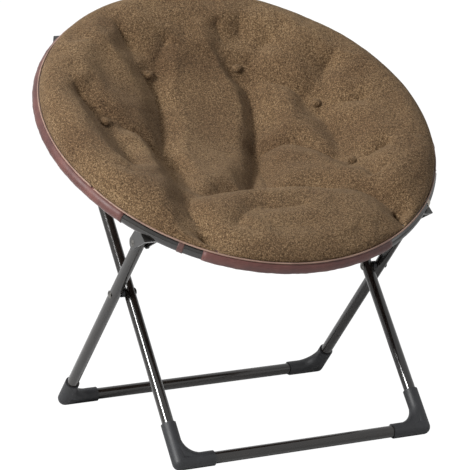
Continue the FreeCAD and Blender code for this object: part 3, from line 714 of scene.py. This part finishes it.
def cover_underside():
    """The thin sewn underside of the cover, from the hem down round the bag."""
    rings, spokes = COVER_RINGS, COVER_SPOKES
    radii = np.linspace(COVER_START, SEAM_RADIUS, rings)
    angles = np.linspace(0.0, 2.0 * math.pi, spokes, endpoint=False)
    r, t = np.meshgrid(radii, angles, indexing="ij")
    sag = SAG_FINE * np.sin(t * 31.0 + 1.3 * np.sin(t * 5.0)) * smooth((r - 225.0) / 60.0)
    sag += SAG_BROAD * np.sin(t * 13.0 + r * 0.03) * smooth((r - 120.0) / 80.0)
    bag = under_height(np.minimum(r, BRIM_RADIUS)) - SKIN_DROP
    reach = np.clip((r - BRIM_RADIUS) / (SEAM_RADIUS - BRIM_RADIUS), 0.0, 1.0)
    seam = BRIM_RISE - BAG_EDGE - SKIN_DROP - SEAM_FALL * reach
    low = np.where(r < BRIM_RADIUS, bag, seam) + sag * (r < BRIM_RADIUS - 1.0)
    middle = in_world(np.zeros(1), np.zeros(1), np.array([-BAG_DEPTH - SKIN_DROP]))
    points = in_world(r * np.cos(t), r * np.sin(t), low).reshape(-1, 3)
    points = np.vstack([points, middle])
    faces = grid_faces(rings, spokes, wrap=True, flip=True)
    centre = rings * spokes
    faces += [((j + 1) % spokes, centre, j) for j in range(spokes)]
    obj = mesh_object("cover_underside", points, faces)
    thicken(obj, COVER_THICK * MM, 0.0)
    obj.data.materials.append(SLING)
    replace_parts(obj, "front_sling", "rear_sling")
    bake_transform(obj)


def ring_sweep(
    name, start, end, section, front, step=1.2, ripple=None, caps=True, eased=False
):
    """A section carried round the ring; it gives (out, up) from the tube's middle."""
    angles = np.radians(np.arange(start, end + 0.5 * step, step))
    section = np.array(section)
    rows = []
    for t in angles:
        out = RING + section[:, 0]
        up = section[:, 1]
        if ripple is not None:
            grow = ripple(t)
            length = np.hypot(section[:, 0], section[:, 1])
            out = out + section[:, 0] / length * grow
            up = up + section[:, 1] / length * grow
        place = (out * math.cos(t), out * math.sin(t), up)
        rows.append(in_world(*place) if eased else half_plane(*place, front))
    points = np.array(rows).reshape(-1, 3)
    count = len(section)
    faces = grid_faces(len(angles), count, wrap=True)
    if caps:
        faces.append(tuple(range(count))[::-1])
        faces.append(tuple(range((len(angles) - 1) * count, len(angles) * count)))
    obj = mesh_object(name, points, faces)
    face_outwards(obj.data)
    return obj


def half_plane(x, s, n, front):
    """Ring coordinates to metres on one ring half, with no easing at the fold."""
    tilt = TILT + (DROOP if front else 0.0)
    run = s - FOLD_S
    y = HINGE[0] + run * math.cos(tilt) - n * math.sin(tilt)
    z = HINGE[1] + run * math.sin(tilt) + n * math.cos(tilt)
    return np.stack([x, y, z], -1) * MM


def wrap_section(radius, tail, count=40):
    """A sleeve section round the tube with a flat tail along its inner side."""
    points = []
    for k in range(count):
        a = 2.0 * math.pi * k / count
        out, up = math.cos(a) * radius, math.sin(a) * radius
        if out < 0.0:
            pull = (-out / radius) ** 2
            out -= tail * pull * math.exp(-((up + TAIL_DROP) / TAIL_SPREAD) ** 2)
        points.append((out, up))
    return points


def hem_ripple(angle):
    """Small puckers of the sewn vinyl, by the angle round the ring."""
    return 0.25 * math.sin(57.0 * angle) + 0.2 * math.sin(131.0 * angle + 0.7)


def hem_piece(name, start, end):
    """A sewn vinyl tunnel round the ring tube, which crosses the fold where it is long."""
    crosses = start < 0.0
    section = wrap_section(HEM_RADIUS, HEM_TAIL)
    obj = ring_sweep(
        name, start, end, section, not crosses, ripple=hem_ripple, eased=crosses, caps=False
    )
    thicken(obj, VINYL_THICK * MM)
    obj.data.materials.append(HEM)
    if crosses:
        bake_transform(obj)
    else:
        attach(obj, "front_ring")
    return obj


def thicken(obj, thickness, offset=-1.0):
    """Gives an open sheet its thickness, inwards from its outer face or on both sides."""
    solid = obj.modifiers.new("Solidify", "SOLIDIFY")
    solid.thickness = thickness
    solid.offset = offset
    apply_modifiers(obj)


def circle_section(out, up, radius, count=12):
    turns = [2.0 * math.pi * k / count for k in range(count)]
    return [(out + radius * math.cos(t), up + radius * math.sin(t)) for t in turns]


def button(name, x, s):
    """A covered button: a domed cap with a soft pleated skirt."""
    base = float(top_height(np.array([float(x)]), np.array([float(s)]))[0]) + BUTTON_LIFT
    spokes = BUTTON_SPOKES
    rows = []
    for radius, height in BUTTON_PROFILE:
        for k in range(spokes):
            t = 2.0 * math.pi * k / spokes
            pleat = PLEAT_DEPTH * math.sin(BUTTON_PLEATS * t) * (radius > PLEAT_RADIUS)
            wide = radius * (1.0 + pleat)
            rows.append((x + wide * math.cos(t), s + wide * math.sin(t), base + height))
    p = np.array(rows)
    points = in_world(p[:, 0], p[:, 1], p[:, 2])
    last = (len(BUTTON_PROFILE) - 1) * spokes
    faces = grid_faces(len(BUTTON_PROFILE), spokes, wrap=True, flip=True)
    faces.append(tuple(range(spokes)))
    faces.append(tuple(range(last, last + spokes))[::-1])
    obj = mesh_object(name, points, faces)
    face_outwards(obj.data)
    sub = obj.modifiers.new("Subdivision", "SUBSURF")
    sub.levels = sub.render_levels = 1
    apply_modifiers(obj)
    obj.data.materials.append(PLUSH)
    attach(obj, "rear_ring")
    return obj


def strap(name, angle, width, material):
    """A narrow loop round the bare tube of the front ring half."""
    half = math.degrees(width / 2.0 / RING)
    section = wrap_section(STRAP_RADIUS, STRAP_TAIL, 32)
    obj = ring_sweep(name, angle - half, angle + half, section, True, step=half / 3.0, caps=False)
    thicken(obj, STRAP_THICK * MM)
    obj.data.materials.append(material)
    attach(obj, "front_ring")


def dress_frame():
    """Gives each carried-over metal and plastic node its finish."""
    sides = ("left", "right")
    tubes = ["outer_floor_bar", "inner_floor_bar", "front_ring_tube", "rear_ring_tube"]
    tubes += [f"{name}_{side}" for name in ("outer_leg", "inner_leg") for side in sides]
    pressed = ("front_bracket", "rear_bracket", "front_hinge_lug", "rear_hinge_lug")
    brackets = [f"{name}_{side}" for name in pressed for side in sides]
    plastic = ["outer_leg_plugs", "inner_leg_plugs", "scissor_spacers"]
    plastic += [f"{name}_{side}" for name in ("outer_foot", "inner_foot") for side in sides]
    rivets = [
        "front_pivot_rivets", "rear_pivot_rivets", "hinge_rivets", "scissor_rivets",
        "scissor_rivet_tails",
    ]
    finishes = ((PAINT, tubes), (BRACKET, brackets), (PLASTIC, plastic), (STEEL, rivets))
    for material, nodes in finishes:
        for name in nodes:
            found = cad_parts[name]
            obj = bpy.data.objects[found] if isinstance(found, str) else found
            obj.data.materials.clear()
            obj.data.materials.append(material)


# Where the hems and the piping start and end, as angles round the ring in degrees
REAR_HEM = (-17.0, 214.5)
FRONT_HEM = (238.0, 296.0)
REAR_PIPING = (-23.0, 203.0)
FRONT_PIPING = (203.6, 336.4)
PIPING_SECTION = circle_section(4.5, 13.9, 1.5)
# The loops on the bare tube: the angle in degrees and the width in millimetres
STRAP_LEFT = (232.0, 11.0)
STRAP_RIGHT = (318.0, 12.0)

cushion()
cover_underside()
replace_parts(hem_piece("rear_hem_sleeve", *REAR_HEM), "rear_hem", "front_hem_left")
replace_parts(hem_piece("front_hem_sleeve", *FRONT_HEM), "front_hem")
# The piping is a thin cord along the top of the hem. Its lighter vinyl is a painted highlight of
# the sleeve's lit edge
for half, span in (("rear", REAR_PIPING), ("front", FRONT_PIPING)):
    piping = ring_sweep(f"{half}_piping", *span, PIPING_SECTION, half == "front")
    piping.data.materials.append(PIPING_PAINTED_HIGHLIGHT)
    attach(piping, f"{half}_ring")
caps = [button(f"covered_button_{number}", x, s) for number, (x, s) in enumerate(BUTTONS, 1)]
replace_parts(caps[0], "tuft_buttons")
strap("strap_left", *STRAP_LEFT, SLING)
strap("strap_right", *STRAP_RIGHT, WEBBING)
dress_frame()


# Floor, light and camera
FLOOR_HALF = 40.0
FLOOR_GLOW = 1.1
FLOOR_GLOW_SHARE = 0.93
WORLD_LEVEL = 0.27
# Each lamp: its name, place and width in metres, and its power in watts
LAMPS = (
    ("key", (-2.7, -1.0, 2.1), 0.7, 130.0),
    ("fill", (2.6, -2.0, 1.2), 1.6, 7.0),
    ("top", (-0.4, 0.4, 3.2), 0.9, 30.0),
)
LAMP_AIM = Vector((0.0, 0.0, 0.5))


def floor_plane():
    """A pale floor that looks white to the camera and still takes the chair's shadow."""
    corners = [(x, y, 0.0) for x, y in ((-1, -1), (1, -1), (1, 1), (-1, 1))]
    corners = [(x * FLOOR_HALF, y * FLOOR_HALF, z) for x, y, z in corners]
    mesh = bpy.data.meshes.new("floor")
    mesh.from_pydata(corners, [], [(0, 1, 2, 3)])
    floor = bpy.data.objects.new("floor", mesh)
    bpy.context.scene.collection.objects.link(floor)
    material, tree, shader = new_material("pale_floor")
    shader.inputs["Base Color"].default_value = (0.8, 0.8, 0.8, 1.0)
    shader.inputs["Roughness"].default_value = 0.9
    emission = add(tree, "ShaderNodeEmission", Strength=FLOOR_GLOW)
    path = tree.nodes.new("ShaderNodeLightPath")
    share = math_node(tree, "MULTIPLY", path.outputs["Is Camera Ray"], FLOOR_GLOW_SHARE)
    blend = mix_shaders(tree, share, shader.outputs["BSDF"], emission.outputs["Emission"])
    tree.links.new(blend, tree.nodes["Material Output"].inputs["Surface"])
    mesh.materials.append(material)


def mix_shaders(tree, share, first, second):
    """Goes from the first shader to the second as the share goes from 0 to 1."""
    node = tree.nodes.new("ShaderNodeMixShader")
    for socket, value in zip(node.inputs, (share, first, second)):
        tree.links.new(value, socket)
    return node.outputs["Shader"]


def white_world():
    """Soft light all round, and plain white where the camera or a gloss looks at it."""
    world = bpy.data.worlds.new("studio")
    bpy.context.scene.world = world
    world.use_nodes = True
    tree = world.node_tree
    background = tree.nodes["Background"]
    background.inputs["Color"].default_value = (1.0, 1.0, 1.0, 1.0)
    background.inputs["Strength"].default_value = WORLD_LEVEL
    bright = add(tree, "ShaderNodeBackground", Strength=1.0)
    path = tree.nodes.new("ShaderNodeLightPath")
    seen = math_node(tree, "MAXIMUM", path.outputs["Is Camera Ray"], path.outputs["Is Glossy Ray"])
    blend = mix_shaders(
        tree, seen, background.outputs["Background"], bright.outputs["Background"]
    )
    tree.links.new(blend, tree.nodes["World Output"].inputs["Surface"])


def lamps():
    """A key lamp from the left, a weak fill from the right and one lamp above."""
    for name, place, width, power in LAMPS:
        data = bpy.data.lights.new(name, "AREA")
        data.size = width
        data.energy = power
        lamp = bpy.data.objects.new(name, data)
        lamp.location = place
        aim = LAMP_AIM - lamp.location
        lamp.rotation_euler = aim.to_track_quat("-Z", "Y").to_euler()
        bpy.context.scene.collection.objects.link(lamp)


# The camera that the photograph was taken with, fitted to the ring, legs and floor bars
CAMERA_AZIMUTH = math.radians(-26.08)
CAMERA_ELEVATION = math.radians(12.04)
CAMERA_DISTANCE = 4.28975
CAMERA_TARGET = Vector((-0.00527, 0.0, 0.35072))
LENS = 173.03
SENSOR = 36.0


def camera():
    """Looks from the fitted place, with the picture's middle on the target."""
    level = math.cos(CAMERA_ELEVATION)
    back = Vector((
        math.sin(CAMERA_AZIMUTH) * level, -math.cos(CAMERA_AZIMUTH) * level,
        math.sin(CAMERA_ELEVATION),
    ))
    right = Vector((math.cos(CAMERA_AZIMUTH), math.sin(CAMERA_AZIMUTH), 0.0))
    up = back.cross(right)
    data = bpy.data.cameras.new("photo_view")
    data.sensor_width = SENSOR
    data.lens = LENS
    view = bpy.data.objects.new("photo_view", data)
    turn = Matrix((right, up, back)).transposed().to_4x4()
    view.matrix_world = Matrix.Translation(CAMERA_TARGET + back * CAMERA_DISTANCE) @ turn
    bpy.context.scene.collection.objects.link(view)
    bpy.context.scene.camera = view


floor_plane()
white_world()
lamps()
camera()
bpy.context.scene.view_settings.view_transform = "Standard"
